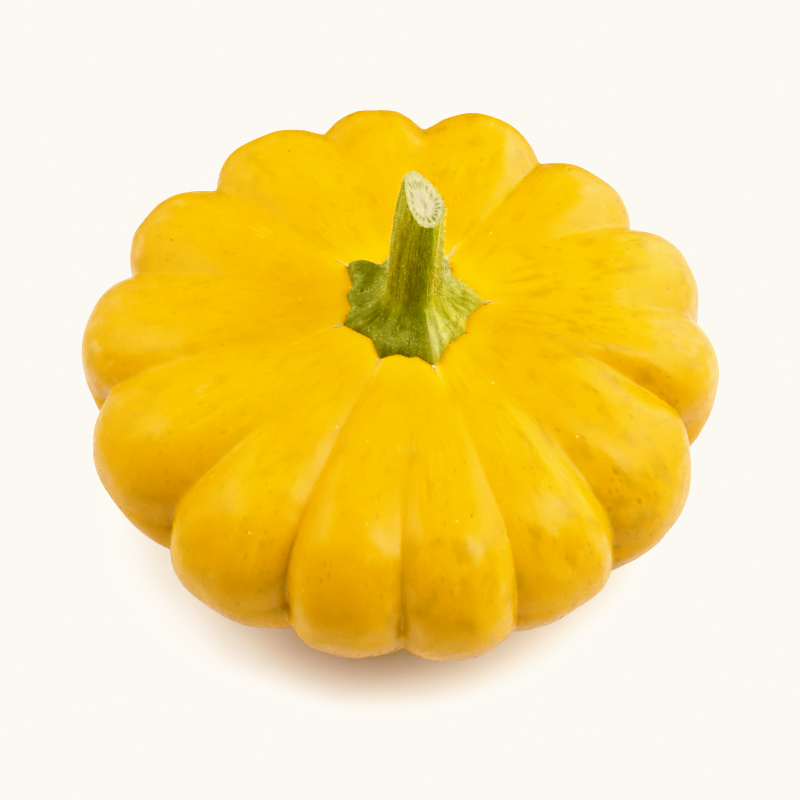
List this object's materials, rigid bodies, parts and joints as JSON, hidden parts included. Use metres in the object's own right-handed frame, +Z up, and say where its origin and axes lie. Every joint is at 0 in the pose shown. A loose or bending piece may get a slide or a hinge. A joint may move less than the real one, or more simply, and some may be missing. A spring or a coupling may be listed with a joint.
{
  "type": "pattypan squash",
  "caption": "Round, flattened yellow squash with a scalloped rim of lobes, standing on its blossom scar, with a slant-cut green stem.",
  "frame": {"origin": "middle of the flat blossom scar that the squash rests on", "axes": "+Z up towards the stem, +X to the right and -Y towards the viewer of the picture"},
  "size_m": [0.1298, 0.1314, 0.0994],
  "materials": {
    "squash_skin": "smooth waxy skin, soft satin gloss",
    "stem_green": "matt, ridged and finely hairy green stem with a pale cut end"
  },
  "bodies": {
    "root": {"fruit": "squash_skin", "stem": "stem_green"}
  },
  "joints": []
}
